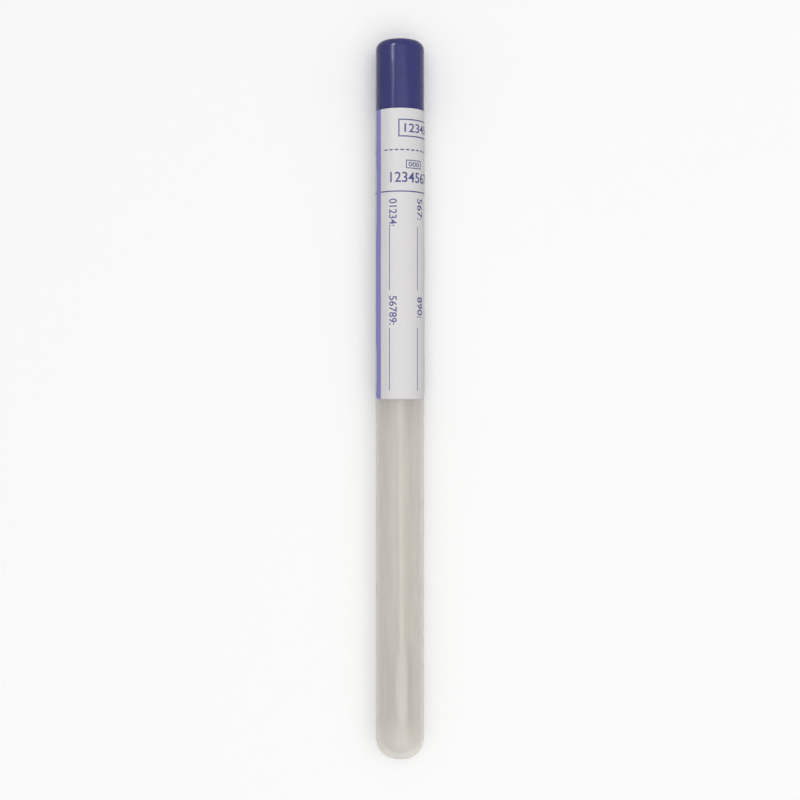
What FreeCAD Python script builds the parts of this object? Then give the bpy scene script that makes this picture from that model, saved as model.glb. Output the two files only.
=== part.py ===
import FreeCAD
import Part
import math
import os

# Specimen swab tube, in millimetres: a round-bottomed tube, a plug cap that holds the swab's
# stick, the swab's fibre bud, and a paper label that seals cap to tube until its perforation tears.
# It lies on its label with its axis along Y and the cap towards +Y. The origin is the middle of
# the lowest line. "Height" runs along the axis from the tube's outer bottom, whichever way the
# tube lies, and an angle runs round the axis from the top, positive towards +X.

# Tube, one polypropylene moulding
tube_length = 150.0  # outer bottom to mouth
tube_diameter = 12.0  # where the label sits, and the cap's diameter too
shank_diameter = 11.8  # bare lower length, which drops into a rack
bore_diameter = 10.0
floor_thickness = 1.2
relief_length = 8.0  # the shank swells to the tube's diameter over this length
relief_to_label = 1.0  # bare length between that swelling and the label
mouth_chamfer = 0.3

# Cap, one polyethylene moulding
cap_length = 27.5  # tube's mouth to the crown
cap_edge_radius = 2.2
crown_thickness = 2.0
plug_length = 9.0
plug_wall = 1.0
plug_chamfer = 0.4
plug_slack = 0.2  # radial, between the sealing beads
bead_clearance = 0.03  # radial, bead to bore
bead_height = 0.8
bead_count = 2
bead_pitch = 3.5
first_bead_depth = 2.0  # below the mouth
boss_wall = 1.0  # round the stick's socket
socket_depth = 15.0
web_count = 4
web_thickness = 0.8
web_setback = 3.0  # the webs stop this far above the plug's end
web_root = 0.3  # how far a web runs into the walls that it joins

# Swab
handle_diameter = 2.5  # thick upper length of the stick
handle_length = 74.0
neck_length = 2.0
shaft_diameter = 1.5  # thin lower length
bend_radius = 3300.0  # the stick sags in one gentle arc below its socket
bend_heading = 12.0  # degrees, from straight down towards +X
bud_length = 20.0
bud_diameter = 3.3
bud_end_diameter = 3.0
bud_end_round = 0.7
bud_cover = 1.5  # fibre beyond the stick's end
bud_to_floor = 4.8

# Label, one paper strip with a striped margin that laps over its other end
paper_thickness = 0.1
label_above_mouth = 10.0  # the tab, on the cap
label_below_mouth = 61.0  # the wrap, on the tube
label_lap = 2.0  # the striped margin
lap_edge_angle = -68.0  # where the margin's free edge lies
lap_ramp = 1.0  # the paper comes down off its other end over this length
label_corner_radius = 1.0
slit_length = 0.9
slit_height = 0.12
slit_pitch = 1.4

# Print, set into the paper. "Across" runs round the label from the margin's inner border,
# and "down" from the perforation towards the tube's bottom.
ink_depth = 0.03
dash_height = 0.2
band_line_width = 0.3
band_line_down = 10.15
rule_width = 0.18
outline_width = 0.3
column_across = (2.5, 9.9)  # two columns of ruled fields
rule_spans = ((18.9, 34.5), (43.6, 58.9))  # down
batch_box_across = 6.75
batch_box_width = 4.5
batch_box_height = 2.1
batch_box_down = 2.6
date_box_across = 25.6
date_box_width = 1.8
tab_box_across = 4.85
tab_box_width = 20.8
tab_box_height = 4.35
tab_box_divider = 14.2  # from the box's left side
tab_box_inset = 2.65  # from the label's top edge
ring_across = 31.1
ring_diameter = 4.7
ring_inset = 5.4  # centre, from the label's top edge

tube_radius = tube_diameter / 2
shank_radius = shank_diameter / 2
bore_radius = bore_diameter / 2
label_radius = tube_radius + paper_thickness
lap_radius = label_radius + paper_thickness
overall_length = tube_length + cap_length
axis_height = label_radius  # the label is what it rests on
tab_top = tube_length + label_above_mouth
wrap_bottom = tube_length - label_below_mouth
plug_end = tube_length - plug_length
socket_radius = handle_diameter / 2
shaft_radius = shaft_diameter / 2
bud_tip = floor_thickness + bud_to_floor
bend_length = plug_end - bud_tip - bud_length

along_tube = FreeCAD.Vector(0, 1, 0)


def at(x, height, z):
    """A point at x and z from the tube's axis."""
    return FreeCAD.Vector(x, height - overall_length / 2, axis_height + z)


def round_axis(radius, angle, height):
    """A point at a radius and an angle round the tube's axis."""
    turn = math.radians(angle)
    return at(radius * math.sin(turn), height, radius * math.cos(turn))


def quarter(start, end):
    """An elliptical quarter's middle point, leaving start along the radius."""
    bend = math.sin(math.pi / 4)
    return (
        start[0] + (end[0] - start[0]) * bend,
        start[1] + (end[1] - start[1]) * (1 - bend),
    )


def outline(steps, place):
    """A closed face from (radius, height) steps. A pair of steps is an arc's middle and end."""
    edges = []
    here = steps[0]
    for step in steps[1:] + steps[:1]:
        if isinstance(step[0], tuple):
            middle, end = step
            edges.append(Part.Arc(place(here), place(middle), place(end)).toShape())
            here = end
        else:
            edges.append(Part.makeLine(place(here), place(step)))
            here = step
    return Part.Face(Part.Wire(edges))


def turned(steps):
    """A solid turned about the tube's axis."""
    face = outline(steps, lambda step: at(step[0], step[1], 0))
    return face.revolve(at(0, 0, 0), along_tube, 360)


def tube():
    relief_top = wrap_bottom - relief_to_label
    bore_bottom = floor_thickness + bore_radius
    outer_round = (shank_radius, shank_radius)
    inner_round = (0, floor_thickness)
    return turned(
        [
            (0, 0),
            (quarter((0, 0), outer_round), outer_round),
            (shank_radius, relief_top - relief_length),
            (tube_radius, relief_top),
            (tube_radius, tube_length),
            (bore_radius + mouth_chamfer, tube_length),
            (bore_radius, tube_length - mouth_chamfer),
            (bore_radius, bore_bottom),
            (quarter(inner_round, (bore_radius, bore_bottom)), inner_round),
        ]
    )


def cap():
    crown = overall_length
    plug_radius = bore_radius - plug_slack
    cavity_radius = plug_radius - plug_wall
    boss_radius = socket_radius + boss_wall
    cavity_top = crown - crown_thickness
    bend = cap_edge_radius * math.sin(math.pi / 4)
    edge_start = (tube_radius - cap_edge_radius, crown)
    edge_middle = (edge_start[0] + bend, crown - cap_edge_radius + bend)
    edge_end = (tube_radius, crown - cap_edge_radius)
    steps = [
        (0, crown),
        edge_start,
        (edge_middle, edge_end),
        (tube_radius, tube_length),
        (plug_radius, tube_length),
    ]
    for number in range(bead_count):
        bead = tube_length - first_bead_depth - number * bead_pitch
        peak = (bore_radius - bead_clearance, bead)
        steps.append((plug_radius, bead + bead_height / 2))
        steps.append((peak, (plug_radius, bead - bead_height / 2)))
    steps += [
        (plug_radius, plug_end + plug_chamfer),
        (plug_radius - plug_chamfer, plug_end),
        (cavity_radius, plug_end),
        (cavity_radius, cavity_top),
        (boss_radius, cavity_top),
        (boss_radius, plug_end),
        (socket_radius, plug_end),
        (socket_radius, plug_end + socket_depth),
        (0, plug_end + socket_depth),
    ]
    web_foot = plug_end + web_setback
    web_top = cavity_top + web_root
    web_ring = turned(
        [
            (boss_radius - web_root, web_foot),
            (cavity_radius + web_root, web_foot),
            (cavity_radius + web_root, web_top),
            (boss_radius - web_root, web_top),
        ]
    )
    moulding = turned(steps)
    for number in range(web_count):
        plate = Part.makeBox(web_thickness, web_top - web_foot, tube_radius)
        plate.translate(at(-web_thickness / 2, web_foot, 0))
        turn = 360 / web_count * (number + 0.5)
        plate.rotate(at(0, 0, 0), along_tube, turn)
        moulding = moulding.fuse(plate.common(web_ring))
    return moulding.removeSplitter()


def sag_direction():
    heading = math.radians(bend_heading)
    return FreeCAD.Vector(math.sin(heading), 0, -math.cos(heading))


def station(distance):
    """The stick's centre and its direction, at a distance below the cap's socket."""
    turn = distance / bend_radius
    sag = sag_direction() * bend_radius * (1 - math.cos(turn))
    point = at(0, plug_end - bend_radius * math.sin(turn), 0) + sag
    direction = along_tube * -math.cos(turn) + sag_direction() * math.sin(turn)
    return point, direction


def ring_at(radius, distance):
    point, direction = station(distance)
    return Part.Wire(Part.makeCircle(radius, point, direction))


def bent_rod(radius, start, end):
    """A round rod along the stick's arc, turned about the arc's far centre."""
    centre = at(0, plug_end, 0) + sag_direction() * bend_radius
    hinge = sag_direction().cross(along_tube)
    turn = math.degrees((end - start) / bend_radius)
    return Part.Face(ring_at(radius, start)).revolve(centre, hinge, turn)


def swab_stick():
    handle_end = handle_length - socket_depth
    neck_end = handle_end + neck_length
    end_point, end_direction = station(bend_length)
    tip_length = bud_length - bud_cover
    held = Part.makeCylinder(socket_radius, socket_depth, at(0, plug_end, 0), along_tube)
    handle = bent_rod(socket_radius, 0, handle_end)
    neck_rings = [ring_at(socket_radius, handle_end), ring_at(shaft_radius, neck_end)]
    neck = Part.makeLoft(neck_rings, True, True)
    shaft = bent_rod(shaft_radius, neck_end, bend_length)
    tip = Part.makeCylinder(shaft_radius, tip_length, end_point, end_direction)
    return held.fuse([handle, neck, shaft, tip])


def swab_bud():
    """Fibre wound on the stick's end, turned about the stick's straight tip."""
    end_radius = bud_end_diameter / 2
    flat_radius = end_radius - bud_end_round
    bend = bud_end_round * math.sin(math.pi / 4)
    upper_corner = (flat_radius + bend, bud_end_round - bend)
    lower_corner = (flat_radius + bend, bud_length - bud_end_round + bend)
    steps = [
        (shaft_radius, 0),
        (flat_radius, 0),
        (upper_corner, (end_radius, bud_end_round)),
        ((bud_diameter / 2, bud_length / 2), (end_radius, bud_length - bud_end_round)),
        (lower_corner, (flat_radius, bud_length)),
        (0, bud_length),
        (0, bud_length - bud_cover),
        (shaft_radius, bud_length - bud_cover),
    ]
    face = outline(steps, lambda step: FreeCAD.Vector(step[0], 0, step[1]))
    up = FreeCAD.Vector(0, 0, 1)
    bud = face.revolve(FreeCAD.Vector(0, 0, 0), up, 360)
    point, direction = station(bend_length)
    bud.Placement = FreeCAD.Placement(point, FreeCAD.Rotation(up, direction))
    return bud


def degrees_round(length, radius):
    return math.degrees(length / radius)


lap_border_angle = lap_edge_angle + degrees_round(label_lap, lap_radius)
ramp_end_angle = lap_border_angle + degrees_round(lap_ramp, lap_radius)


def across_label(distance):
    """The angle at a distance from the margin's inner border."""
    return lap_border_angle + degrees_round(distance, label_radius)


def arc_round(radius, start, end, height):
    ends = [round_axis(radius, angle, height) for angle in (start, (start + end) / 2, end)]
    return Part.Arc(*ends).toShape()


def sector(inner, outer, start, end, low, high):
    """A curved block between two radii, two angles and two heights."""
    edges = [
        arc_round(inner, start, end, low),
        Part.makeLine(round_axis(inner, end, low), round_axis(outer, end, low)),
        arc_round(outer, end, start, low),
        Part.makeLine(round_axis(outer, start, low), round_axis(inner, start, low)),
    ]
    return Part.Face(Part.Wire(edges)).extrude(along_tube * (high - low))


def lap_corner(end, inward):
    """What rounding one corner of the margin takes off. inward is 1 or -1 along the tube."""
    round_angle = lap_edge_angle + degrees_round(label_corner_radius, lap_radius)
    centre = round_axis(0, round_angle, end + inward * label_corner_radius)
    outward = round_axis(1, round_angle, 0) - round_axis(0, round_angle, 0)
    low, high = sorted((end, end + inward * label_corner_radius))
    block = sector(label_radius, lap_radius, lap_edge_angle, round_angle, low, high)
    post = Part.makeCylinder(label_corner_radius, tube_diameter, centre, outward)
    return block.cut(post)


def paper(low, high, rounded_end, inward):
    """A length of the lapped label, as one sheet's section drawn out along the tube."""
    far_edge = lap_edge_angle + 360
    edges = [
        Part.makeLine(
            round_axis(label_radius, far_edge, low), round_axis(lap_radius, far_edge, low)
        ),
        arc_round(lap_radius, lap_edge_angle, lap_border_angle, low),
        Part.Arc(
            round_axis(lap_radius, lap_border_angle, low),
            round_axis(
                (lap_radius + label_radius) / 2, (lap_border_angle + ramp_end_angle) / 2, low
            ),
            round_axis(label_radius, ramp_end_angle, low),
        ).toShape(),
        arc_round(label_radius, ramp_end_angle, far_edge, low),
    ]
    section = Part.Face(Part.Wire(edges))
    bore = Part.Face(Part.Wire(Part.makeCircle(tube_radius, at(0, low, 0), along_tube)))
    sheet = section.cut(bore).extrude(along_tube * (high - low))
    return sheet.cut(lap_corner(rounded_end, inward))


def stripe(low, high, rounded_end, inward):
    strip = sector(
        lap_radius - ink_depth, lap_radius, lap_edge_angle, lap_border_angle, low, high
    )
    return strip.cut(lap_corner(rounded_end, inward))


def patch(left, right, low, high):
    """Ink from one distance across to another, between two heights."""
    return sector(
        label_radius - ink_depth,
        label_radius,
        across_label(left),
        across_label(right),
        low,
        high,
    )


def box_outline(left, width, top, height):
    right = left + width
    low = top - height
    return [
        patch(left, right, top - outline_width, top),
        patch(left, right, low, low + outline_width),
        patch(left, left + outline_width, low + outline_width, top - outline_width),
        patch(right - outline_width, right, low + outline_width, top - outline_width),
    ]


def joined(pieces):
    return pieces[0].fuse(pieces[1:]).removeSplitter() if len(pieces) > 1 else pieces[0]


def slit_angles():
    """Start angles of the perforation's slits, from the ramp's foot round to the free edge."""
    span = lap_edge_angle + 360 - ramp_end_angle
    pitch = degrees_round(slit_pitch, label_radius)
    count = int(span / pitch)
    first = ramp_end_angle + (span - count * pitch) / 2
    return [first + number * pitch for number in range(count)]


def slits():
    turn = degrees_round(slit_length, label_radius)
    low = tube_length - slit_height
    return [
        sector(tube_radius, label_radius, start, start + turn, low, tube_length)
        for start in slit_angles()
    ]


def wrap_print():
    """Dashes under the slits, the band line, the ruled fields and two outlined boxes."""
    inner = label_radius - ink_depth
    dash_top = tube_length - slit_height
    dash_turn = degrees_round(slit_length, label_radius)
    line_top = tube_length - band_line_down
    marks = [
        sector(inner, label_radius, start, start + dash_turn, dash_top - dash_height, dash_top)
        for start in slit_angles()
    ]
    marks.append(
        sector(
            inner,
            label_radius,
            ramp_end_angle,
            lap_edge_angle + 360,
            line_top - band_line_width,
            line_top,
        )
    )
    for across in column_across:
        for start, end in rule_spans:
            marks.append(patch(across, across + rule_width, tube_length - end, tube_length - start))
    box_top = tube_length - batch_box_down
    for across, width in (
        (batch_box_across, batch_box_width),
        (date_box_across, date_box_width),
    ):
        marks.append(joined(box_outline(across, width, box_top, batch_box_height)))
    return marks


def tab_print():
    """A divided box and a ring."""
    top = tab_top - tab_box_inset
    low = top - tab_box_height
    divider = tab_box_across + tab_box_divider
    box = box_outline(tab_box_across, tab_box_width, top, tab_box_height)
    box.append(
        patch(divider, divider + outline_width, low + outline_width, top - outline_width)
    )
    angle = across_label(ring_across)
    outward = round_axis(1, angle, 0) - round_axis(0, angle, 0)
    foot = round_axis(0, angle, tab_top - ring_inset)
    ring_radius = ring_diameter / 2
    ring = Part.makeCylinder(ring_radius, tube_diameter, foot, outward)
    ring = ring.cut(
        Part.makeCylinder(ring_radius - outline_width, tube_diameter, foot, outward)
    )
    skin = patch(
        ring_across - ring_diameter,
        ring_across + ring_diameter,
        tab_top - ring_inset - ring_diameter,
        tab_top,
    )
    return [joined(box), skin.common(ring)]


def with_print(sheet, ink):
    """The sheet with pockets that the ink fills."""
    for mark in ink:
        sheet = sheet.cut(mark)
    return sheet


def build():
    wrap_stripe = stripe(wrap_bottom, tube_length, wrap_bottom, 1)
    tab_stripe = stripe(tube_length, tab_top, tab_top, -1)
    wrap_ink = wrap_print()
    tab_ink = tab_print()
    wrap = paper(wrap_bottom, tube_length, wrap_bottom, 1)
    wrap = with_print(wrap, [wrap_stripe] + wrap_ink + slits())
    tab = with_print(paper(tube_length, tab_top, tab_top, -1), [tab_stripe] + tab_ink)
    return {
        "tube": tube(),
        "cap": cap(),
        "swab_stick": swab_stick(),
        "swab_bud": swab_bud(),
        "label_wrap": wrap,
        "label_tab": tab,
        "wrap_stripe": wrap_stripe,
        "tab_stripe": tab_stripe,
        "wrap_print": Part.makeCompound(wrap_ink),
        "tab_print": Part.makeCompound(tab_ink),
    }


os.makedirs("parts", exist_ok=True)
for name, shape in build().items():
    shape.exportStep("parts/" + name + ".step")
    print(name, len(shape.Solids), "solids", round(shape.Volume, 3), "mm3", shape.isValid())
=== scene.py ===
"""Specimen swab tube lying on its label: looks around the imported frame."""

import math

import bmesh
import bpy
import numpy as np
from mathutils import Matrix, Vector


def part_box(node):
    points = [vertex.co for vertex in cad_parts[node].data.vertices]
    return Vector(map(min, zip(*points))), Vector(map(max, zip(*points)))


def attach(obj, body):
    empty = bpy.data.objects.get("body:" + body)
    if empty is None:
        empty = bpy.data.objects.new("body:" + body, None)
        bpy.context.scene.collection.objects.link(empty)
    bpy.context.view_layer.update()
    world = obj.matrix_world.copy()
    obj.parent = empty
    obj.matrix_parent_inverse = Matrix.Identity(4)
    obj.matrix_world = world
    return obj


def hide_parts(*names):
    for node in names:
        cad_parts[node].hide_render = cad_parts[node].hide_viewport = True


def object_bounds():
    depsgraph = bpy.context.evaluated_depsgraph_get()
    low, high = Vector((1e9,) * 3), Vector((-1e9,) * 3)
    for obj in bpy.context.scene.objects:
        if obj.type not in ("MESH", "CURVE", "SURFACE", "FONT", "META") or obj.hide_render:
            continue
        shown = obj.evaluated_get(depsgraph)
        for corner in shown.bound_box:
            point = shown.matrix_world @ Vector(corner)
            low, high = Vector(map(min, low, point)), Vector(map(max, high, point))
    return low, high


MM = 0.001
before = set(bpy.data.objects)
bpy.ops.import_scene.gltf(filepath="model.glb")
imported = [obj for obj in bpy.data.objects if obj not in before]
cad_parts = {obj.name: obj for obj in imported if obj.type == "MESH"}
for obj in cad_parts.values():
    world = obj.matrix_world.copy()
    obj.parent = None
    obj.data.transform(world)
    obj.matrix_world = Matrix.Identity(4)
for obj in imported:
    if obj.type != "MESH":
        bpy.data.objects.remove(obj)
cad_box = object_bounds()

# Places read from the frame. Heights run along the tube from its outer bottom; angles run
# round the axis from the top, positive towards +X.
tube_low, tube_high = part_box("tube")
cap_low, cap_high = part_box("cap")
wrap_low, wrap_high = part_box("label_wrap")
tab_low, tab_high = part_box("label_tab")
FOOT = tube_low.y
AXIS = (wrap_low.z + wrap_high.z) / 2
MOUTH = tube_high.y - FOOT
CROWN = cap_high.y - FOOT
PLUG_END = cap_low.y - FOOT
WRAP_BOTTOM = wrap_low.y - FOOT
TAB_TOP = tab_high.y - FOOT
TUBE_RADIUS = (tube_high.x - tube_low.x) / 2
LABEL_RADIUS = (wrap_high.x - wrap_low.x) / 2

# Tube
SHANK_RADIUS = 5.9 * MM
BORE_RADIUS = 5.0 * MM
TUBE_FLOOR = 1.2 * MM
RELIEF_TOP = WRAP_BOTTOM - 1.0 * MM
RELIEF_LENGTH = 8.0 * MM
UNDER_PAPER = 0.01 * MM  # what the tube and the cap's skirt stand back from the paper
LEAD_IN = 0.3 * MM  # the bevel inside the mouth
GATE_RADIUS = 0.55 * MM  # the moulding gate's scar, a shallow dimple at the pole
GATE_DIMPLE = 0.12 * MM

# Cap
CAP_EDGE = 2.2 * MM
CROWN_DISH = 0.12 * MM  # the crown sinks by this much inside its rim
CROWN_THICKNESS = 2.0 * MM
PLUG_RADIUS = 4.8 * MM
BEAD_RADIUS = 4.97 * MM
BEAD_HEIGHT = 0.8 * MM
BEAD_DEPTHS = (2.0 * MM, 5.5 * MM)
CAVITY_RADIUS = 3.8 * MM
BOSS_RADIUS = 2.25 * MM
WEB_THICKNESS = 0.8 * MM
WEB_INSET = 0.2 * MM  # how far a blade reaches into what it joins
WEB_SETBACK = 3.0 * MM
WEB_COUNT = 4

# Swab
HANDLE_RADIUS = 1.25 * MM
SOCKET_RADIUS = HANDLE_RADIUS + 0.01 * MM
SHAFT_RADII = (0.79 * MM, 0.69 * MM)
SOCKET_DEPTH = 15.0 * MM
NECK_START = 59.0 * MM  # below the socket, along the stick
NECK_LENGTH = 2.0 * MM
BEND_RADIUS = 3300.0 * MM
BEND_HEADING = math.radians(12.0)
BEND_WAY = np.array([math.sin(BEND_HEADING), 0, -math.cos(BEND_HEADING)])
UP_TUBE = np.array([0, 1, 0])
BUD_LENGTH = 20.0 * MM
BUD_RADIUS = 1.65 * MM
BUD_END_RADIUS = 1.5 * MM
BUD_COVER = 1.5 * MM
BUD_TIP = 6.0 * MM

# Label
PAPER = 0.085 * MM
PAPER_BACK = TUBE_RADIUS + UNDER_PAPER
LAP = 2.0 * MM
LAP_EDGE_ANGLE = math.radians(-68.0)
LAP_RAMP = 1.0 * MM
LABEL_CORNER = 1.0 * MM
SLIT_LENGTH = 0.9 * MM
SLIT_HEIGHT = 0.12 * MM
SLIT_PITCH = 1.4 * MM
TEAR_DEPTH = 0.045 * MM
MARGIN_LIFT = 0.17 * MM
INK_LIFT = 0.012 * MM

BORDER_ANGLE = LAP_EDGE_ANGLE + LAP / (LABEL_RADIUS + PAPER)
ROUND = 2 * math.pi * LABEL_RADIUS


def around(radius, angle, height):
    """Points at radii and angles round the tube's axis, at heights along it."""
    radius, angle, height = np.broadcast_arrays(radius, angle, height)
    across = radius * np.sin(angle)
    above = AXIS + radius * np.cos(angle)
    return np.stack([across, FOOT + height, above], -1)


def ripple(points, seed, finest, coarsest, waves=18):
    """Uneven relief of about -1 to 1: the sum of sine waves whose directions, lengths and phases
    are drawn at random, over the root of half their number."""
    draw = np.random.default_rng(seed)
    directions = draw.normal(size=(waves, 3))
    directions /= np.linalg.norm(directions, axis=1, keepdims=True)
    lengths = np.exp(draw.uniform(math.log(finest), math.log(coarsest), waves))
    phases = draw.uniform(0, 2 * math.pi, waves)
    turns = points @ (directions * (2 * math.pi / lengths)[:, None]).T + phases
    return np.sin(turns).sum(-1) / math.sqrt(waves / 2)


def eased(value):
    """A smooth step from 0 to 1: three squares less two cubes of the value held to 0 to 1."""
    held = np.clip(value, 0, 1)
    return held * held * (3 - 2 * held)


def grid_faces(rows, columns, close_rows=False, close_columns=False):
    """Four-cornered faces of a grid of points numbered row by row."""
    row = np.arange(rows if close_rows else rows - 1)
    column = np.arange(columns if close_columns else columns - 1)
    row, column = [part.ravel() for part in np.meshgrid(row, column, indexing="ij")]
    next_row = (row + 1) % rows
    next_column = (column + 1) % columns
    corners = [
        row * columns + column,
        row * columns + next_column,
        next_row * columns + next_column,
        next_row * columns + column,
    ]
    return np.stack(corners, 1)


def fan_faces(centre, ring):
    """Triangles from a centre point to each side of a closed ring."""
    return np.stack([np.full(len(ring), centre), ring, np.roll(ring, -1)], 1)


def mesh_of(name, points, quads=None, triangles=None):
    """A mesh from arrays, its faces turned outwards."""
    points = np.asarray(points, np.float64).reshape(-1, 3)
    parts = [part for part in (quads, triangles) if part is not None and len(part)]
    corners = np.concatenate([part.ravel() for part in parts])
    sizes = np.concatenate([np.full(len(part), part.shape[1]) for part in parts])
    starts = np.concatenate([[0], np.cumsum(sizes)[:-1]])
    mesh = bpy.data.meshes.new(name)
    mesh.vertices.add(len(points))
    mesh.vertices.foreach_set("co", points.astype(np.float32).ravel())
    mesh.loops.add(len(corners))
    mesh.loops.foreach_set("vertex_index", corners.astype(np.int32))
    mesh.polygons.add(len(sizes))
    mesh.polygons.foreach_set("loop_start", starts.astype(np.int32))
    mesh.update(calc_edges=True)
    shell = bmesh.new()
    shell.from_mesh(mesh)
    bmesh.ops.recalc_face_normals(shell, faces=shell.faces)
    shell.to_mesh(mesh)
    shell.free()
    return mesh


def add_piece(mesh, body, material, nodes=(), sharp=35):
    """Shows a mesh as a piece that rides on a body and stands for CAD nodes. Edges turn smoothly
    up to an angle in degrees."""
    mesh.shade_smooth()
    mesh.set_sharp_from_angle(angle=math.radians(sharp))
    mesh.materials.append(material)
    piece = bpy.data.objects.new(mesh.name, mesh)
    bpy.context.scene.collection.objects.link(piece)
    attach(piece, body)
    if nodes:
        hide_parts(*nodes)


def rounded(corners):
    """An outline's points: each (radius, height, rounding) corner becomes an arc that touches
    both of its sides, with a point every 0.2 mm of rounding."""
    places = np.array([corner[:2] for corner in corners], float)
    points = []
    for number, (radius, height, rounding) in enumerate(corners):
        here = places[number]
        if not rounding or number in (0, len(corners) - 1):
            points.append(here)
            continue
        back = places[number - 1] - here
        ahead = places[number + 1] - here
        back /= np.linalg.norm(back)
        ahead /= np.linalg.norm(ahead)
        half = math.acos(np.clip(back @ ahead, -1, 1)) / 2
        middle = (back + ahead) / np.linalg.norm(back + ahead)
        centre = here + middle * rounding / math.sin(half)
        start = here + back * rounding / math.tan(half) - centre
        end = here + ahead * rounding / math.tan(half) - centre
        share = np.linspace(0, 1, 5 + int(rounding / (0.2 * MM)))[:, None]
        turn = math.pi - 2 * half
        arc = (np.sin((1 - share) * turn) * start + np.sin(share * turn) * end) / math.sin(turn)
        points.extend(centre + arc)
    return np.array(points)


def turned(name, outline, columns=192):
    """A closed shell turned about the tube's axis from an outline that starts and ends on it:
    each point goes round at its radius, and the first and last are single points."""
    angle = np.linspace(0, 2 * math.pi, columns, endpoint=False)
    body = outline[1:-1]
    rings = around(body[:, :1], angle[None, :], body[:, 1:])
    rows = len(body)
    poles = around(0.0, 0.0, outline[[0, -1], 1])
    points = np.concatenate([rings.reshape(-1, 3), poles])
    quads = grid_faces(rows, columns, close_columns=True)
    first = np.arange(columns)
    last = first + (rows - 1) * columns
    triangles = np.concatenate(
        [fan_faces(rows * columns, first), fan_faces(rows * columns + 1, last)]
    )
    return mesh_of(name, points, quads, triangles)


# Finishes


class Wire:
    """A shader value that takes part in Python arithmetic: each operator adds its Math node."""

    def __init__(self, finish, socket):
        self.finish = finish
        self.socket = socket

    def _maths(self, operation, first, second):
        return self.finish.node("Math", {"operation": operation}, {0: first, 1: second})

    def __add__(self, other):
        return self._maths("ADD", self, other)

    def __radd__(self, other):
        return self._maths("ADD", other, self)

    def __rmul__(self, other):
        return self._maths("MULTIPLY", other, self)

    def __pow__(self, other):
        return self._maths("POWER", self, other)


class Finish:
    """A material's node tree, and the one method that adds nodes to it."""

    def __init__(self, name):
        self.material = bpy.data.materials.new(name)
        self.material.use_nodes = True
        self.tree = self.material.node_tree
        self.tree.nodes.clear()

    def node(self, kind, settings=None, sockets=None, output=0):
        made = self.tree.nodes.new("ShaderNode" + kind)
        for name, value in (settings or {}).items():
            if name == "stops":
                ramp = made.color_ramp.elements
                for stop, (place, colour) in zip(
                    [ramp[0], *[ramp.new(0.5) for _ in value[2:]], ramp[-1]], value, strict=True
                ):
                    stop.position = place
                    stop.color = colour
            else:
                setattr(made, name, value)
        for name, value in (sockets or {}).items():
            if isinstance(value, Wire):
                self.tree.links.new(value.socket, made.inputs[name])
            else:
                made.inputs[name].default_value = value
        return Wire(self, made.outputs[output]) if made.outputs else made

    def places(self):
        return self.node("TexCoord", output="Object")

    def noise(self, size, detail=3.0, roughness=0.5, stretch=(1, 1, 1)):
        """Noise from 0 to 1 whose features are about a size in metres, stretched along an axis."""
        scaled = self.node(
            "Mapping",
            {"vector_type": "POINT"},
            {"Vector": self.places(), "Scale": tuple(1 / (size * part) for part in stretch)},
        )
        return self.node(
            "TexNoise",
            sockets={"Vector": scaled, "Scale": 1.0, "Detail": detail, "Roughness": roughness},
        )

    def between(self, value, low, high, to_low=0.0, to_high=1.0):
        return self.node(
            "MapRange",
            sockets={"Value": value, 1: low, 2: high, 3: to_low, 4: to_high},
        )

    def blend(self, factor, first, second):
        """A colour between two, each four numbers or a wire."""
        return self.node("Mix", {"data_type": "RGBA"}, {0: factor, 6: first, 7: second}, 2)

    def bump(self, height, depth, normal=None):
        sockets = {"Height": height, "Distance": depth, "Strength": 1.0}
        if normal is not None:
            sockets["Normal"] = normal
        return self.node("Bump", sockets=sockets)

    def show(self, shader):
        self.node("OutputMaterial", sockets={"Surface": shader})
        return self.material


def colour(red, green, blue):
    return (red, green, blue, 1.0)


def cap_finish():
    """Dark violet-blue polyethylene: soft gloss, slow waviness and fine handling scuffs."""
    finish = Finish("cap_polyethylene")
    cloud = finish.noise(3.0 * MM, 4.0)
    scuff = finish.noise(0.5 * MM, 6.0, 0.7, (1, 5, 1))
    wave = finish.noise(4.0 * MM, 1.0)
    grain = finish.noise(0.12 * MM, 2.0)
    base = finish.blend(cloud, colour(0.034, 0.036, 0.154), colour(0.043, 0.046, 0.184))
    rough = finish.between(scuff, 0.35, 0.75, 0.15, 0.26)
    bumped = finish.bump(wave, 0.05 * MM)
    bumped = finish.bump(grain, 0.0012 * MM, bumped)
    shader = finish.node(
        "BsdfPrincipled",
        sockets={
            "Base Color": base,
            "Roughness": rough,
            "IOR": 1.5,
            "Specular IOR Level": 0.19,
            "Normal": bumped,
            "Subsurface Weight": 0.12,
            "Subsurface Radius": (0.4, 0.4, 1.0),
            "Subsurface Scale": 0.6 * MM,
        },
    )
    return finish.show(shader)


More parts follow.
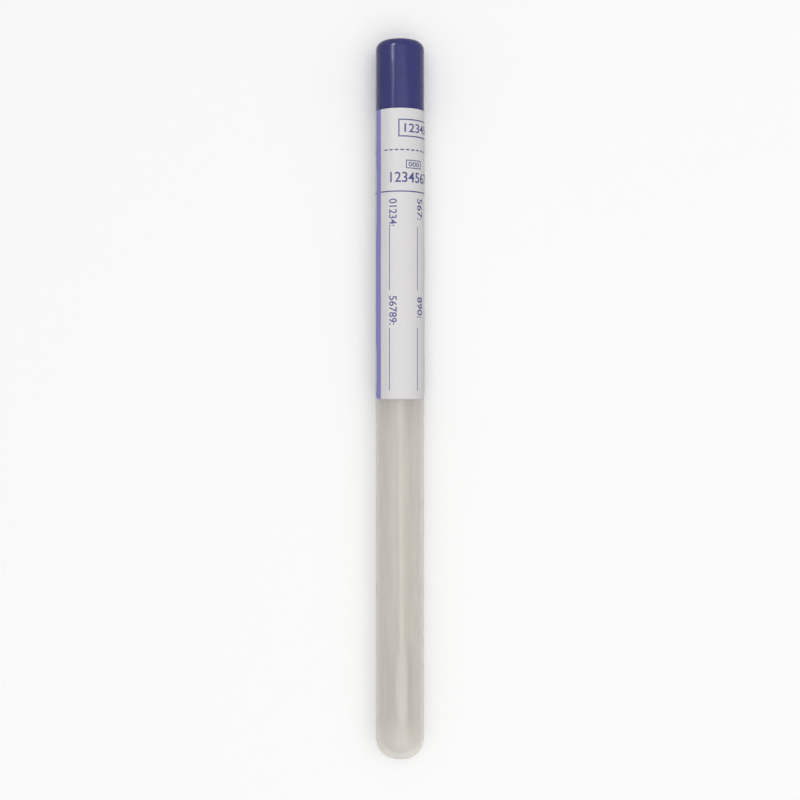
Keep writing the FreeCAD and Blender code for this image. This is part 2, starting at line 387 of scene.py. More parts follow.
def tube_finish():
    """Milky polypropylene: each face lets most light straight through and scatters the rest, more
    of it where the wall is seen edge on, under a satin skin with faint flow marks."""
    finish = Finish("tube_polypropylene")
    flow = finish.noise(1.6 * MM, 3.0, 0.5, (1, 9, 1))
    orange = finish.noise(0.7 * MM, 2.0)
    milk = finish.blend(flow, colour(0.835, 0.80, 0.745), colour(0.875, 0.84, 0.785))
    bumped = finish.bump(flow, 0.006 * MM)
    bumped = finish.bump(orange, 0.0015 * MM, bumped)
    facing = finish.node("LayerWeight", sockets={"Blend": 0.5}, output="Facing")
    clear = finish.node("BsdfTransparent", sockets={"Color": colour(0.985, 0.978, 0.962)})
    haze = finish.node(
        "BsdfPrincipled",
        sockets={
            "Base Color": milk,
            "Roughness": 0.42,
            "IOR": 1.49,
            "Normal": bumped,
            "Subsurface Weight": 0.4,
            "Subsurface Radius": (1.0, 0.95, 0.85),
            "Subsurface Scale": 1.0 * MM,
        },
    )
    skin = finish.node("BsdfGlossy", sockets={"Roughness": 0.42, "Normal": bumped})
    share = finish.between(flow, 0.3, 0.7, 0.19, 0.22) + 0.5 * facing**3.0
    body = finish.node("MixShader", sockets={0: share, 1: clear, 2: haze})
    gloss = 0.03 + 0.13 * facing**5.0
    return finish.show(finish.node("MixShader", sockets={0: gloss, 1: body, 2: skin}))


def stick_finish():
    """Off-white polystyrene, satin, with faint drawn lines."""
    finish = Finish("stick_polystyrene")
    lines = finish.noise(0.15 * MM, 3.0, 0.5, (1, 40, 1))
    cloud = finish.noise(2.0 * MM, 2.0)
    base = finish.blend(cloud, colour(0.645, 0.63, 0.585), colour(0.70, 0.68, 0.635))
    shader = finish.node(
        "BsdfPrincipled",
        sockets={
            "Base Color": base,
            "Roughness": finish.between(lines, 0.3, 0.7, 0.33, 0.45),
            "IOR": 1.55,
            "Normal": finish.bump(lines, 0.004 * MM),
            "Subsurface Weight": 0.3,
            "Subsurface Radius": (1.0, 0.9, 0.7),
            "Subsurface Scale": 0.5 * MM,
        },
    )
    return finish.show(shader)


def fibre_finish():
    """White wound fibre: matt, faintly mottled, with a soft sheen."""
    finish = Finish("bud_fibre")
    lay = finish.noise(0.10 * MM, 4.0, 0.6, (1, 1.6, 1))
    base = finish.blend(lay, colour(0.735, 0.715, 0.69), colour(0.83, 0.815, 0.79))
    shader = finish.node(
        "BsdfPrincipled",
        sockets={
            "Base Color": base,
            "Roughness": 0.92,
            "Specular IOR Level": 0.2,
            "Sheen Weight": 0.35,
            "Sheen Roughness": 0.5,
            "Normal": finish.bump(lay, 0.03 * MM),
        },
    )
    return finish.show(shader)


def paper_finish():
    """Smooth white label paper with a faint fibre cloud."""
    finish = Finish("label_paper")
    cloud = finish.noise(1.2 * MM, 5.0, 0.6)
    fibre = finish.noise(0.08 * MM, 4.0, 0.6)
    base = finish.blend(cloud, colour(0.70, 0.685, 0.69), colour(0.735, 0.72, 0.725))
    shader = finish.node(
        "BsdfPrincipled",
        sockets={
            "Base Color": base,
            "Roughness": finish.between(cloud, 0.3, 0.7, 0.52, 0.6),
            "Specular IOR Level": 0.35,
            "Normal": finish.bump(fibre, 0.004 * MM),
        },
    )
    return finish.show(shader)


def ink_finish(name, deep, pale):
    """Printing ink: its density wanders, so the paper shows a little through it."""
    finish = Finish(name)
    density = finish.noise(0.25 * MM, 5.0, 0.65)
    grain = finish.noise(0.07 * MM, 3.0)
    base = finish.blend(finish.between(density, 0.35, 0.75), deep, pale)
    shader = finish.node(
        "BsdfPrincipled",
        sockets={
            "Base Color": base,
            "Roughness": 0.5,
            "Specular IOR Level": 0.35,
            "Normal": finish.bump(grain, 0.003 * MM),
        },
    )
    return finish.show(shader)


SEEING_RAYS = ("Is Camera Ray", "Is Glossy Ray", "Is Transmission Ray")


def floor_finish():
    """Plain pale table that keeps its shadows and shows white to the eye and in gloss."""
    finish = Finish("table")
    speck = finish.noise(9.0 * MM, 2.0)
    base = finish.blend(speck, colour(0.50, 0.50, 0.50), colour(0.52, 0.52, 0.52))
    rays = [finish.node("LightPath", output=name) for name in SEEING_RAYS]
    seen = finish.node("Math", {"operation": "MAXIMUM"}, {0: rays[0], 1: rays[1]})
    seen = finish.node("Math", {"operation": "MAXIMUM"}, {0: seen, 1: rays[2]})
    base = finish.blend(seen, base, colour(1.0, 1.0, 1.0))
    shader = finish.node("BsdfDiffuse", sockets={"Color": base})
    return finish.show(shader)


# Tube, cap and swab


def tube_shell(material):
    """Outer wall up from the round bottom, over the mouth's lead-in, and down the bore: an
    outline with a quarter circle at each bottom, turned."""
    skin = TUBE_RADIUS - UNDER_PAPER
    corners = [
        (0, GATE_DIMPLE, 0),
        (GATE_RADIUS, GATE_DIMPLE * 0.3, 0.3 * MM),
        (SHANK_RADIUS, 0, SHANK_RADIUS - GATE_RADIUS * 1.6),
        (SHANK_RADIUS, RELIEF_TOP - RELIEF_LENGTH, 30 * MM),
        (skin, RELIEF_TOP, 30 * MM),
        (skin, MOUTH, 0.12 * MM),
        (BORE_RADIUS + LEAD_IN, MOUTH, 0.12 * MM),
        (BORE_RADIUS, MOUTH - LEAD_IN, 0.2 * MM),
        (BORE_RADIUS, TUBE_FLOOR, BORE_RADIUS),
        (0, TUBE_FLOOR, 0),
    ]
    mesh = turned("tube_shell", rounded(corners))
    add_piece(mesh, "tube_body", material, ["tube"])


def cap_moulding(material):
    """Crown, rounded edge, handle and shoulder, plug with two beads, then up the cavity, down
    the boss and up the stick's socket, turned."""
    skin = TUBE_RADIUS - UNDER_PAPER
    cavity_top = CROWN - CROWN_THICKNESS
    socket_top = PLUG_END + SOCKET_DEPTH
    corners = [
        (0, CROWN - CROWN_DISH, 0),
        (2.3 * MM, CROWN - CROWN_DISH, 1.5 * MM),
        (3.3 * MM, CROWN, 0.8 * MM),
        (skin, CROWN, CAP_EDGE),
        (skin, MOUTH, 0.1 * MM),
        (PLUG_RADIUS, MOUTH, 0.1 * MM),
    ]
    for depth in BEAD_DEPTHS:
        corners += [
            (PLUG_RADIUS, MOUTH - depth + BEAD_HEIGHT / 2, 0.1 * MM),
            (BEAD_RADIUS, MOUTH - depth + BEAD_HEIGHT / 6, 0.15 * MM),
            (BEAD_RADIUS, MOUTH - depth - BEAD_HEIGHT / 6, 0.15 * MM),
            (PLUG_RADIUS, MOUTH - depth - BEAD_HEIGHT / 2, 0.1 * MM),
        ]
    corners += [
        (PLUG_RADIUS, PLUG_END + 0.4 * MM, 0.2 * MM),
        (PLUG_RADIUS - 0.4 * MM, PLUG_END, 0.1 * MM),
        (CAVITY_RADIUS, PLUG_END, 0.1 * MM),
        (CAVITY_RADIUS, cavity_top, 0.3 * MM),
        (BOSS_RADIUS, cavity_top, 0.3 * MM),
        (BOSS_RADIUS, PLUG_END, 0.15 * MM),
        (SOCKET_RADIUS, PLUG_END, 0.1 * MM),
        (SOCKET_RADIUS, socket_top, 0),
        (0, socket_top, 0),
    ]
    mesh = turned("cap_moulding", rounded(corners))
    add_piece(mesh, "cap_body", material, ["cap"])


def cap_webs(material):
    """Four thin blades between boss and wall. Each is a block whose thickness grows evenly from
    its foot to the crown, turned to its place round the axis."""
    foot = PLUG_END + WEB_SETBACK
    top = CROWN - CROWN_THICKNESS + WEB_INSET
    inner = BOSS_RADIUS - WEB_INSET
    outer = CAVITY_RADIUS + WEB_INSET
    steps = np.linspace(0, 1, 9)
    half = WEB_THICKNESS / 2 * (0.8 + 0.2 * steps)
    height = foot + (top - foot) * steps
    side = np.array([-1, 1, 1, -1])
    reach = np.array([inner, inner, outer, outer])
    points = []
    quads = []
    ring = grid_faces(len(steps), 4, close_columns=True)
    ends = np.array([[3, 2, 1, 0], [0, 1, 2, 3]]) + np.array([[0], [4 * (len(steps) - 1)]])
    for number in range(WEB_COUNT):
        turn = 2 * math.pi / WEB_COUNT * (number + 0.5)
        across = half[:, None] * side
        radius = np.hypot(across, reach)
        angle = turn + np.arctan2(across, reach)
        quads.append(np.concatenate([ring, ends]) + number * 4 * len(steps))
        points.append(around(radius, angle, height[:, None]).reshape(-1, 3))
    mesh = mesh_of("cap_webs", np.concatenate(points), np.concatenate(quads))
    add_piece(mesh, "cap_body", material)


def stick_centres(distance):
    """The stick's centre line and its direction: straight in the socket, one wide arc below it,
    and straight again in the bud. Distance runs down from the socket's mouth."""
    bend_length = PLUG_END - BUD_TIP - BUD_LENGTH
    turn = np.clip(distance, 0, bend_length) / BEND_RADIUS
    beyond = np.maximum(distance - bend_length, 0)
    before = np.minimum(distance, 0)
    sag = BEND_RADIUS * (1 - np.cos(turn)) + beyond * np.sin(turn)
    drop = BEND_RADIUS * np.sin(turn) + beyond * np.cos(turn) + before
    centre = np.array([0, FOOT + PLUG_END, AXIS]) + sag[..., None] * BEND_WAY
    centre = centre - drop[..., None] * UP_TUBE
    direction = np.sin(turn)[..., None] * BEND_WAY - np.cos(turn)[..., None] * UP_TUBE
    return centre, direction


def along_stick(distance, radius, angle):
    """Points round the stick's centre line: the centre plus the radius times the cosine and sine
    of the angle along two directions square to the line."""
    centre, direction = stick_centres(distance)
    side = np.cross(direction, BEND_WAY)
    side /= np.linalg.norm(side, axis=-1, keepdims=True)
    down = np.cross(side, direction)
    return centre + radius[..., None] * (
        np.cos(angle)[..., None] * down + np.sin(angle)[..., None] * side
    )


def capped_rod(name, distance, radius, angle):
    """A closed rod from rings of points, with a point at each end of its centre line."""
    rows, columns = radius.shape
    around_line = angle[None, :] + 0 * radius
    rings = along_stick(np.repeat(distance[:, None], columns, 1), radius, around_line)
    ends, _ = stick_centres(distance[[0, -1]])
    points = np.concatenate([rings.reshape(-1, 3), ends])
    quads = grid_faces(rows, columns, close_columns=True)
    first = np.arange(columns)
    triangles = np.concatenate(
        [
            fan_faces(rows * columns, first),
            fan_faces(rows * columns + 1, first + (rows - 1) * columns),
        ]
    )
    return mesh_of(name, points, quads, triangles)


def swab_stick(material):
    """A rod whose radius eases from handle to shaft over the neck and then falls evenly to the
    tip, with a fine parting line down each side."""
    end = PLUG_END - BUD_TIP - BUD_COVER
    shaft_start = NECK_START + NECK_LENGTH
    distance = np.concatenate(
        [
            [-SOCKET_DEPTH + 0.02 * MM, -SOCKET_DEPTH + 0.3 * MM],
            np.linspace(-12 * MM, NECK_START - 1 * MM, 90),
            np.linspace(NECK_START - 0.6 * MM, shaft_start + 0.6 * MM, 30),
            np.linspace(shaft_start + 1 * MM, end, 90),
        ]
    )
    parting = np.array([-6.0, -3.0, 0.0, 3.0, 6.0])
    plain = np.linspace(12, 168, 27)
    angle = np.radians(np.concatenate([parting, plain, parting + 180, plain + 180]))
    neck = eased((distance - NECK_START) / NECK_LENGTH)
    shaft_share = np.clip((distance - shaft_start) / (end - shaft_start), 0, 1)
    shaft = SHAFT_RADII[0] + (SHAFT_RADII[1] - SHAFT_RADII[0]) * shaft_share
    radius = HANDLE_RADIUS * (1 - neck) + shaft * neck
    radius = np.where(distance < -SOCKET_DEPTH + 0.1 * MM, radius - 0.2 * MM, radius)
    ridge = 0.018 * MM * np.exp(-((np.sin(angle) / 0.05) ** 2))
    grown = radius[:, None] + ridge[None, :] * (distance > 0.2 * MM)[:, None]
    mesh = capped_rod("swab_rod", distance, grown, angle + math.pi / 2)
    add_piece(mesh, "cap_body", material, ["swab_stick"])


def bud_radius(share):
    """The bud's radius over its length from 0 at the top to 1 at the tip: a low barrel whose ends
    round off like ellipses."""
    barrel = BUD_END_RADIUS + (BUD_RADIUS - BUD_END_RADIUS) * np.sin(np.pi * share) ** 0.8
    top = np.sqrt(np.clip(1 - (1 - np.clip(share / 0.05, 0, 1)) ** 2, 0, 1))
    tip = np.sqrt(np.clip(1 - (1 - np.clip((1 - share) / 0.07, 0, 1)) ** 2, 0, 1))
    return barrel * (0.5 + 0.5 * top) * tip


def swab_bud(material):
    """Wound fibre: the barrel less a low relief of helical strands, whose ridges are sine waves of
    angle and length, and of uneven lumps."""
    rows, columns = 240, 144
    share = (1 - np.cos(np.linspace(0, math.pi, rows + 1)[:-1])) / 2
    share = np.clip(share, 0.0005, 0.9995)
    distance = PLUG_END - BUD_TIP - BUD_LENGTH * (1 - share)
    angle = np.linspace(0, 2 * math.pi, columns, endpoint=False)
    barrel = np.repeat(bud_radius(share)[:, None], columns, 1)
    turns = angle[None, :]
    along = share[:, None]
    strands = np.sin(9 * turns + 34 * along) * 0.5 + np.sin(14 * turns - 52 * along + 1.3) * 0.35
    strands = strands + np.sin(5 * turns + 71 * along + 0.4) * 0.3
    places = along_stick(np.repeat(distance[:, None], columns, 1), barrel, turns + 0 * barrel)
    lumps = ripple(places, 7, 0.5 * MM, 2.5 * MM)
    relief = 0.028 * MM * (strands - 1.15) + 0.03 * MM * (lumps - 2.2)
    radius = np.maximum(barrel + relief * (barrel / BUD_RADIUS), 0.02 * MM)
    mesh = capped_rod("swab_fibre_bud", distance, radius, angle)
    add_piece(mesh, "cap_body", material, ["swab_bud"], sharp=80)


def bud_fuzz(material):
    """Loose fibres: each leaves the bud, bows over it and comes back, as a three-sided thread
    along a half sine wave that follows the surface."""
    draw = np.random.default_rng(11)
    count = 1500
    steps = 7
    share = draw.uniform(0.02, 0.98, count)
    start = draw.uniform(0, 2 * math.pi, count)
    heading = draw.uniform(-1.1, 1.1, count)
    length = draw.uniform(0.7, 2.6, count) * MM
    bow = draw.uniform(0.01, 0.11, count) * MM * draw.uniform(0.2, 1.0, count)
    thread = draw.uniform(0.007, 0.011, count) * MM
    step = np.linspace(0, 1, steps)[None, :]
    along = share[:, None] + np.cos(heading)[:, None] * length[:, None] / BUD_LENGTH * (step - 0.5)
    along = np.clip(along, 0.01, 0.99)
    turn = start[:, None] + np.sin(heading)[:, None] * length[:, None] / BUD_RADIUS * (step - 0.5)
    sunk = bud_radius(along) - 0.10 * MM
    lift = sunk + bow[:, None] * np.sin(np.pi * step) + 0.02 * MM
    distance = PLUG_END - BUD_TIP - BUD_LENGTH * (1 - along)
    spine = along_stick(distance, np.minimum(lift, BUD_RADIUS + 0.02 * MM), turn)
    centre, _ = stick_centres(distance)
    outward = spine - centre
    outward /= np.linalg.norm(outward, axis=-1, keepdims=True)
    ahead = np.gradient(spine, axis=1)
    side = np.cross(ahead, outward)
    side /= np.linalg.norm(side, axis=-1, keepdims=True)
    taper = thread[:, None] * (0.35 + 0.65 * np.sin(np.pi * step))
    corners = []
    for corner in range(3):
        turned_by = 2 * math.pi / 3 * corner
        offset = math.cos(turned_by) * outward + math.sin(turned_by) * side
        corners.append(spine + taper[..., None] * offset)
    points = np.stack(corners, 2).reshape(-1, 3)
    one = grid_faces(steps, 3, close_columns=True)
    first = np.arange(count)[:, None, None] * steps * 3
    quads = (one[None] + first).reshape(-1, 4)
    last = (steps - 1) * 3
    ends = np.array([[2, 1, 0], [last, last + 1, last + 2]])
    triangles = (ends[None] + first).reshape(-1, 3)
    mesh = mesh_of("swab_loose_fibres", points, quads, triangles)
    add_piece(mesh, "cap_body", material, sharp=180)


# Label and print


def label_angle(across):
    """Angle at a distance round the label from the margin's inner border."""
    return BORDER_ANGLE + across / LABEL_RADIUS


def label_back(across):
    """Radius of the paper's back: one paper higher over the lap, easing down over the ramp, and
    just under the margin where the far end lies beneath it."""
    raised = 1 - eased(across / LAP_RAMP)
    under = eased((across - (ROUND - LAP) + 0.3 * MM) / (0.3 * MM))
    return PAPER_BACK + raised * (PAPER + 0.005 * MM) - under * 0.004 * MM


def margin_lift(across, height):
    """How far the margin's free edge has come up: most at the edge, with uneven waves along it."""
    edge = np.clip(1 - (across + LAP) / (1.5 * MM), 0, 1) ** 2
    along = np.stack([height, 0 * height, 0 * height], -1)
    wave = 0.5 + 0.5 * ripple(along, 3, 14 * MM, 45 * MM, 9)
    return MARGIN_LIFT * edge * np.clip(wave, 0.05, 1)


def label_relief(across, height):
    """Slack in the paper's face: slow waves along the tube, pressed in by up to 0.03 mm."""
    spread = np.stack([across * 2.2, height * 0.6, 0 * height], -1)
    slow = ripple(spread, 21, 5 * MM, 16 * MM)
    fine = ripple(spread, 22, 1.6 * MM, 4 * MM)
    return -0.016 * MM * np.clip(1 + 0.8 * slow + 0.2 * fine, 0, 2)


def on_label(across, height, lift):
    """Points over the paper's face: back, thickness, relief and lift added along the radius."""
    across, height, lift = np.broadcast_arrays(across, height, lift)
    radius = label_back(across) + PAPER + label_relief(across, height)
    radius = radius + margin_lift(across, height) + lift
    return around(radius, label_angle(across), height)


def slit_starts():
    """Where each slit of the perforation starts, in distance from the margin's inner border."""
    ramp_end = LAP_RAMP * LABEL_RADIUS / (LABEL_RADIUS + PAPER)
    span = ROUND - LAP - ramp_end
    count = int(span / SLIT_PITCH)
    first = ramp_end + (span - count * SLIT_PITCH) / 2
    return first + SLIT_PITCH * np.arange(count)


def tear_line(across):
    """Height of the torn edge: slits are cut back by their height and the ties between them tear
    unevenly. Tab and wrap share it, so they meet until the cap is pulled."""
    along = np.stack([across, 0 * across, 0 * across], -1)
    return MOUTH + TEAR_DEPTH * ripple(along, 5, 0.25 * MM, 1.2 * MM)


def in_slit(across):
    since = across[..., None] - slit_starts()
    return ((since > 0) & (since < SLIT_LENGTH)).any(-1)


def corner_cut(across):
    """How much of an end a rounded corner of the margin takes off, for each distance across."""
    from_edge = np.clip(across + LAP, 0, LABEL_CORNER)
    return LABEL_CORNER - np.sqrt(LABEL_CORNER**2 - (LABEL_CORNER - from_edge) ** 2)


def paper_sheet(name, low_edge, high_edge, body, nodes, material, rows):
    """A strip that goes once round and laps over itself. Each column is a loop up the face and
    down the back between two edges that vary across, and the two free ends are closed."""
    starts = slit_starts()
    step = 0.003 * MM
    slit_columns = np.concatenate(
        [starts - step, starts + step, starts + SLIT_LENGTH - step, starts + SLIT_LENGTH + step]
    )
    lap_columns = -LAP + np.linspace(0, 1, 16) ** 1.5 * (LAP + LAP_RAMP)
    across = np.unique(
        np.concatenate([lap_columns, np.arange(LAP_RAMP, ROUND, 0.24 * MM), slit_columns, [ROUND]])
    )
    up = eased(np.linspace(0, 1, rows)) * 0.35 + np.linspace(0, 1, rows) * 0.65
    low = low_edge(across)[:, None]
    high = high_edge(across)[:, None]
    height = low + (high - low) * up[None, :]
    spread = np.repeat(across[:, None], rows, 1)
    face = on_label(spread, height, 0.0)
    back_radius = label_back(spread) + margin_lift(spread, height)
    back = around(back_radius, label_angle(spread), height)
    loops = np.concatenate([face, back[:, ::-1]], 1)
    columns = 2 * rows
    quads = grid_faces(len(across), columns, close_columns=True)
    rung = np.arange(rows - 1)
    end = np.stack([rung, rung + 1, columns - 2 - rung, columns - 1 - rung], 1)
    far = end + (len(across) - 1) * columns
    mesh = mesh_of(name, loops, np.concatenate([quads, end, far]))
    add_piece(mesh, body, material, nodes, sharp=50)


def label_pieces(material):
    def wrap_bottom(across):
        return WRAP_BOTTOM + corner_cut(across)

    def wrap_top(across):
        return np.where(in_slit(across), MOUTH - SLIT_HEIGHT, tear_line(across))

    def tab_bottom(across):
        return np.where(in_slit(across), MOUTH, tear_line(across))

    def tab_top(across):
        return TAB_TOP - corner_cut(across)

    paper_sheet(
        "label_sheet_wrap", wrap_bottom, wrap_top, "tube_body", ["label_wrap"], material, 110
    )
    paper_sheet("label_sheet_tab", tab_bottom, tab_top, "cap_body", ["label_tab"], material, 26)


def ink_patch(left, right, low, high):
    """A thin closed field of ink between two distances across and two heights, as a grid of
    points a hair over the paper and the same grid under its face."""
    columns = max(2, int(math.ceil((right - left) / (0.25 * MM))) + 1)
    rows = max(2, int(math.ceil((high - low) / (0.5 * MM))) + 1)
    across = np.linspace(left, right, columns)[None, :]
    height = np.linspace(low, high, rows)[:, None]
    across, height = np.broadcast_arrays(across, height)
    return slab(across, height)


def slab(across, height):
    """A grid's face and back, closed round its rim. Returns points and faces."""
    rows, columns = across.shape
    face = on_label(across, height, INK_LIFT).reshape(-1, 3)
    back = on_label(across, height, -INK_LIFT).reshape(-1, 3)
    top = grid_faces(rows, columns)
    under = top[:, ::-1] + rows * columns
    grid = np.arange(rows * columns).reshape(rows, columns)
    rim = np.concatenate([grid[0], grid[1:, -1], grid[-1, -2::-1], grid[-2:0:-1, 0]])
    ahead = np.roll(rim, -1)
    wall = np.stack([rim, rim + rows * columns, ahead + rows * columns, ahead], 1)
    return np.concatenate([face, back]), np.concatenate([top, under, wall])


def frame_patches(left, width, top, height, line):
    right = left + width
    low = top - height
    return [
        ink_patch(left, right, top - line, top),
        ink_patch(left, right, low, low + line),
        ink_patch(left, left + line, low + line, top - line),
        ink_patch(right - line, right, low + line, top - line),
    ]


def ring_patch(across, height, radius, line):
    """A flat ring in the label's own plane, as two circles of points."""
    angle = np.linspace(0, 2 * math.pi, 65)[None, :]
    reach = np.array([radius - line, radius])[:, None]
    return slab(across + reach * np.cos(angle), height + reach * np.sin(angle))


def vertex_places(mesh):
    places = np.zeros(len(mesh.vertices) * 3)
    mesh.vertices.foreach_get("co", places)
    return places.reshape(-1, 3)


def digits(text, size, length, left, base, downwards=False):
    """Figures as a flat mesh in mm, cut every 0.3 mm round the label so that it bends, then laid
    on the paper. Returns points and triangles. size is their height and length their run;
    downwards turns them a quarter so that they read towards the tube's bottom."""
    curve = bpy.data.curves.new("figures", "FONT")
    curve.body = text
    curve.resolution_u = 5
    curve.extrude = 0.01
    curve.offset = 0.012  # thickens the strokes
    source = bpy.data.objects.new("figures", curve)
    mesh = bpy.data.meshes.new_from_object(source)
    places = vertex_places(mesh)
    low, high = places.min(0), places.max(0)
    run = (places[:, 0] - low[0]) / (high[0] - low[0]) * length
    rise = (places[:, 1] - low[1]) / (high[1] - low[1]) * size
    side = np.sign(places[:, 2])
    flat = [left + rise, base - run, side] if downwards else [left + run, base + rise, side]
    flat[0] = flat[0] / MM
    flat[1] = flat[1] / MM
    mesh.vertices.foreach_set("co", np.stack(flat, 1).ravel())
    shell = bmesh.new()
    shell.from_mesh(mesh)
    bmesh.ops.remove_doubles(shell, verts=shell.verts, dist=1e-4)
    for cut in np.arange(flat[0].min() + 0.3, flat[0].max(), 0.3):
        everything = [*shell.verts, *shell.edges, *shell.faces]
        bmesh.ops.bisect_plane(shell, geom=everything, plane_co=(cut, 0, 0), plane_no=(1, 0, 0))
    bmesh.ops.triangulate(shell, faces=shell.faces)
    shell.to_mesh(mesh)
    shell.free()
    across, height, side = vertex_places(mesh).T
    laid = on_label(across * MM, height * MM, side * INK_LIFT)
    corners = np.zeros(len(mesh.loops), np.int32)
    mesh.loops.foreach_get("vertex_index", corners)
    bpy.data.objects.remove(source)
    bpy.data.curves.remove(curve)
    bpy.data.meshes.remove(mesh)
    return laid, corners.reshape(-1, 3)


def print_piece(name, fields, figures, body, nodes, material):
    """Ruled fields and figures of one ink as one piece."""
    offset = 0
    points, quads, triangles = [], [], []
    for places, faces in fields:
        points.append(places)
        quads.append(faces + offset)
        offset += len(places)
    for places, faces in figures:
        points.append(places)
        triangles.append(faces + offset)
        offset += len(places)
    mesh = mesh_of(name, np.concatenate(points), np.concatenate(quads), np.concatenate(triangles))
    add_piece(mesh, body, material, nodes, sharp=30)


# Across from the margin's inner border; down from the perforation, or from the tab's own edge.
LINE = 0.3 * MM
DASH_HEIGHT = 0.2 * MM
BAND_DOWN = 10.15 * MM
RULE = 0.18 * MM
RULE_SPANS = ((18.9, 34.5), (43.6, 58.9))  # down, in mm
COLUMN_RULES = (2.5 * MM, 9.9 * MM)  # across
COLUMN_CENTRES = (3.5 * MM, 10.95 * MM)
COLUMN_FIGURES = (
    (("01234:", 12.1, 18.85), ("56789:", 35.8, 42.9)),
    (("567:", 11.9, 17.1), ("890:", 36.0, 41.1)),
)  # with where each starts and ends, down, in mm
FIGURE_HEIGHT = 2.0 * MM
CODE_HEIGHT = 2.6 * MM
CODE_DOWN = 8.15 * MM
BOX_DOWN = 2.6 * MM
BOX_HEIGHT = 2.1 * MM
BOX_LINE = 0.22 * MM
BATCH_BOX = (6.75 * MM, 4.5 * MM)  # across and width
DATE_BOX = (25.6 * MM, 1.8 * MM)
TAB_BOX = (4.85 * MM, 20.8 * MM)
TAB_BOX_DOWN = 2.65 * MM
TAB_BOX_HEIGHT = 4.35 * MM
TAB_DIVIDER = TAB_BOX[0] + 14.2 * MM
TAB_FIGURE_HEIGHT = 2.2 * MM
RING_ACROSS = 31.1 * MM
RING_DOWN = 5.4 * MM


def wrap_marks():
    fields = []
    dash_top = MOUTH - SLIT_HEIGHT
    for start in slit_starts():
        fields.append(ink_patch(start, start + SLIT_LENGTH, dash_top - DASH_HEIGHT, dash_top))
    band = MOUTH - BAND_DOWN
    fields.append(ink_patch(0.02 * MM, ROUND - LAP, band - LINE, band))
    figures = []
    columns = zip(COLUMN_RULES, COLUMN_CENTRES, COLUMN_FIGURES, strict=True)
    for rule, centre, words in columns:
        base = centre - FIGURE_HEIGHT / 2
        for (text, start, end), (top, low) in zip(words, RULE_SPANS, strict=True):
            fields.append(ink_patch(rule, rule + RULE, MOUTH - low * MM, MOUTH - top * MM))
            length = (end - start) * MM
            figures.append(digits(text, FIGURE_HEIGHT, length, base, MOUTH - start * MM, True))
    code = MOUTH - CODE_DOWN
    figures.append(digits("12345678", CODE_HEIGHT, 13.2 * MM, 2.8 * MM, code))
    figures.append(digits("23456789", CODE_HEIGHT, 12.4 * MM, 20.2 * MM, code))
    box_top = MOUTH - BOX_DOWN
    fields += frame_patches(*BATCH_BOX, box_top, BOX_HEIGHT, BOX_LINE)
    figures.append(digits("000", 1.2 * MM, 3.2 * MM, 7.4 * MM, box_top - 1.65 * MM))
    fields += frame_patches(*DATE_BOX, box_top, BOX_HEIGHT, BOX_LINE)
    long_code = MOUTH - 16.5 * MM
    figures.append(
        digits("1234567 8901 23456", 2.8 * MM, 38.2 * MM, 26.6 * MM, long_code, True)
    )
    return fields, figures


def tab_marks():
    top = TAB_TOP - TAB_BOX_DOWN
    left = TAB_BOX[0]
    low = top - TAB_BOX_HEIGHT
    fields = frame_patches(*TAB_BOX, top, TAB_BOX_HEIGHT, LINE)
    fields.append(ink_patch(TAB_DIVIDER, TAB_DIVIDER + LINE, low + LINE, top - LINE))
    ring = TAB_TOP - RING_DOWN
    fields.append(ring_patch(RING_ACROSS, ring, 2.35 * MM, LINE))
    fields.append(ring_patch(RING_ACROSS, ring, 0.6 * MM, 0.55 * MM))
    base = top - 3.25 * MM
    figures = [
        digits("1234567", TAB_FIGURE_HEIGHT, 11.4 * MM, left + 1.5 * MM, base),
        digits("89", TAB_FIGURE_HEIGHT, 3.4 * MM, TAB_DIVIDER + 1.9 * MM, base),
    ]
    return fields, figures


def stripe_piece(name, low, high, round_low, body, node, material):
    """The margin's solid ink: a grid over the margin whose rounded corner follows the paper's."""
    across = -LAP + np.linspace(0.0, 1, 22) ** 1.3 * LAP
    cut = corner_cut(across)
    rows = max(2, int((high - low) / (0.45 * MM)))
    up = np.linspace(0, 1, rows)[:, None]
    bottom = low + (cut if round_low else 0 * cut)
    top = high - (0 * cut if round_low else cut)
    height = bottom[None, :] + (top - bottom)[None, :] * up
    spread = np.broadcast_to(across[None, :], height.shape)
    mesh = mesh_of(name, *slab(spread, height))
    add_piece(mesh, body, material, [node], sharp=30)


# Stage

SKY_OVERHEAD = 0.68  # the sky's light straight up
SKY_LEVEL = 0.28  # and at the horizon


def plain_floor(material):
    """One flat square far wider than the view."""
    half = 3.0
    corners = np.array([[-half, -half], [half, -half], [half, half], [-half, half]])
    points = np.column_stack([corners, np.full(4, tab_low.z)])
    mesh = bpy.data.meshes.new("table_top")
    mesh.from_pydata(points.tolist(), [], [[0, 1, 2, 3]])
    mesh.materials.append(material)
    floor = bpy.data.objects.new("table_top", mesh)
    bpy.context.scene.collection.objects.link(floor)


def softbox(name, place, target, size, power, fills=True):
    """A flat lamp. One that doesn't fill only shows as a highlight in glossy surfaces."""
    lamp = bpy.data.lights.new(name, "AREA")
    lamp.shape = "RECTANGLE"
    lamp.size, lamp.size_y = size
    lamp.energy = power
    holder = bpy.data.objects.new(name, lamp)
    bpy.context.scene.collection.objects.link(holder)
    aim = np.array(target) - np.array(place)
    holder.location = place
    holder.visible_diffuse = fills
    holder.rotation_euler = Vector(aim).to_track_quat("-Z", "Y").to_euler()


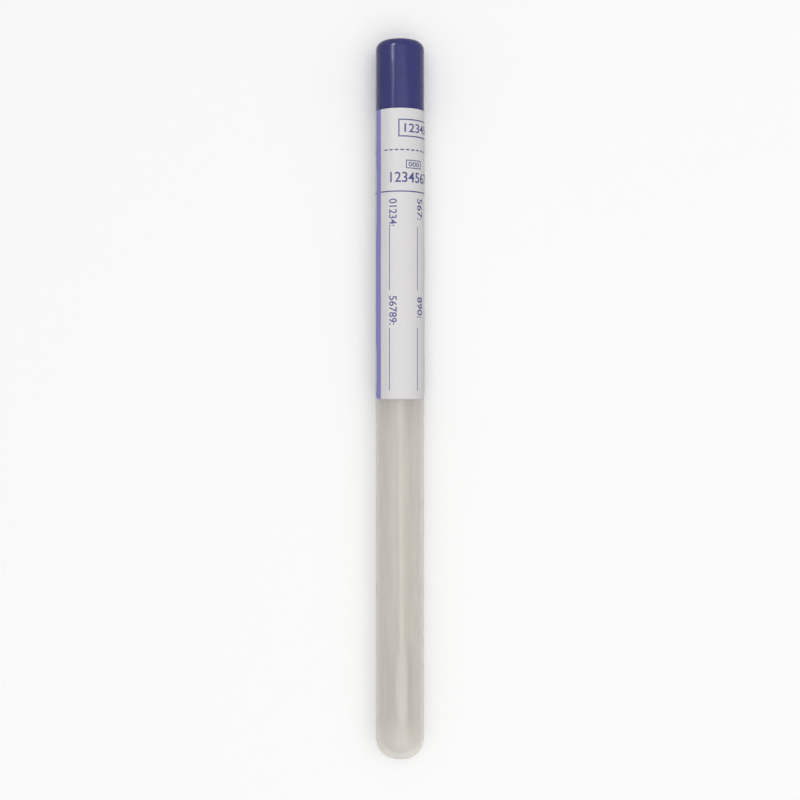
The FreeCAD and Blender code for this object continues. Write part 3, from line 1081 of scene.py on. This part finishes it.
def studio():
    """Sky light that fades evenly with height from overhead to the horizon, a broad softbox
    overhead, just right of it, and two thin ones on the left that only show as highlights:
    a streak down the whole cap, and its brighter start at the top. Rays that show the backdrop
    itself find it white."""
    world = bpy.data.worlds.new("studio")
    bpy.context.scene.world = world
    world.use_nodes = True
    tree = world.node_tree
    backdrop = tree.nodes["Background"]
    place = tree.nodes.new("ShaderNodeTexCoord")
    parts = tree.nodes.new("ShaderNodeSeparateXYZ")
    fade = tree.nodes.new("ShaderNodeMapRange")
    fade.inputs["To Min"].default_value = SKY_LEVEL
    fade.inputs["To Max"].default_value = SKY_OVERHEAD
    rays = tree.nodes.new("ShaderNodeLightPath")
    tree.links.new(place.outputs["Generated"], parts.inputs[0])
    tree.links.new(parts.outputs["Z"], fade.inputs["Value"])
    level = fade.outputs[0]
    for name in SEEING_RAYS:
        higher = tree.nodes.new("ShaderNodeMath")
        higher.operation = "MAXIMUM"
        tree.links.new(level, higher.inputs[0])
        tree.links.new(rays.outputs[name], higher.inputs[1])
        level = higher.outputs[0]
    tree.links.new(level, backdrop.inputs["Color"])
    softbox("main_light", (0.15, -0.1, 1.1), (0, 0, 0), (1.3, 1.3), 7.4)
    softbox("streak_light", (-0.67, 0.1, 1.0), (0, 0, 0), (1.2, 0.08), 3.0, fills=False)
    softbox("cap_light", (-0.67, 0.66, 1.0), (0, 0.3, 0), (0.4, 0.1), 13.0, fills=False)


VIEW_DISTANCE = 0.365
VIEW_MARGIN = 800 / 716  # the view's height over the tube's length
SENSOR_WIDTH = 36.0


def overhead_camera():
    """Looks straight down on the middle of the tube."""
    low, high = cad_box
    view_height = (high.y - low.y) * VIEW_MARGIN
    camera = bpy.data.cameras.new("overhead")
    camera.sensor_width = SENSOR_WIDTH
    camera.lens = SENSOR_WIDTH * VIEW_DISTANCE / view_height
    camera.clip_start = 0.01
    camera.clip_end = 20.0
    holder = bpy.data.objects.new("overhead", camera)
    bpy.context.scene.collection.objects.link(holder)
    holder.location = (0, (low.y + high.y) / 2, AXIS + VIEW_DISTANCE)
    bpy.context.scene.camera = holder
    bpy.context.scene.view_settings.view_transform = "Standard"


cap_material = cap_finish()
paper_material = paper_finish()
fibre_material = fibre_finish()
stripe_material = ink_finish("stripe_ink", colour(0.215, 0.205, 0.56), colour(0.34, 0.335, 0.71))
print_material = ink_finish("print_ink", colour(0.05, 0.055, 0.20), colour(0.12, 0.125, 0.32))
tube_shell(tube_finish())
cap_moulding(cap_material)
cap_webs(cap_material)
swab_stick(stick_finish())
swab_bud(fibre_material)
bud_fuzz(fibre_material)
label_pieces(paper_material)
stripe_piece(
    "margin_ink_wrap", WRAP_BOTTOM, MOUTH, True, "tube_body", "wrap_stripe", stripe_material
)
stripe_piece("margin_ink_tab", MOUTH, TAB_TOP, False, "cap_body", "tab_stripe", stripe_material)
print_piece("print_on_wrap", *wrap_marks(), "tube_body", ["wrap_print"], print_material)
print_piece("print_on_tab", *tab_marks(), "cap_body", ["tab_print"], print_material)
plain_floor(floor_finish())
studio()
overhead_camera()
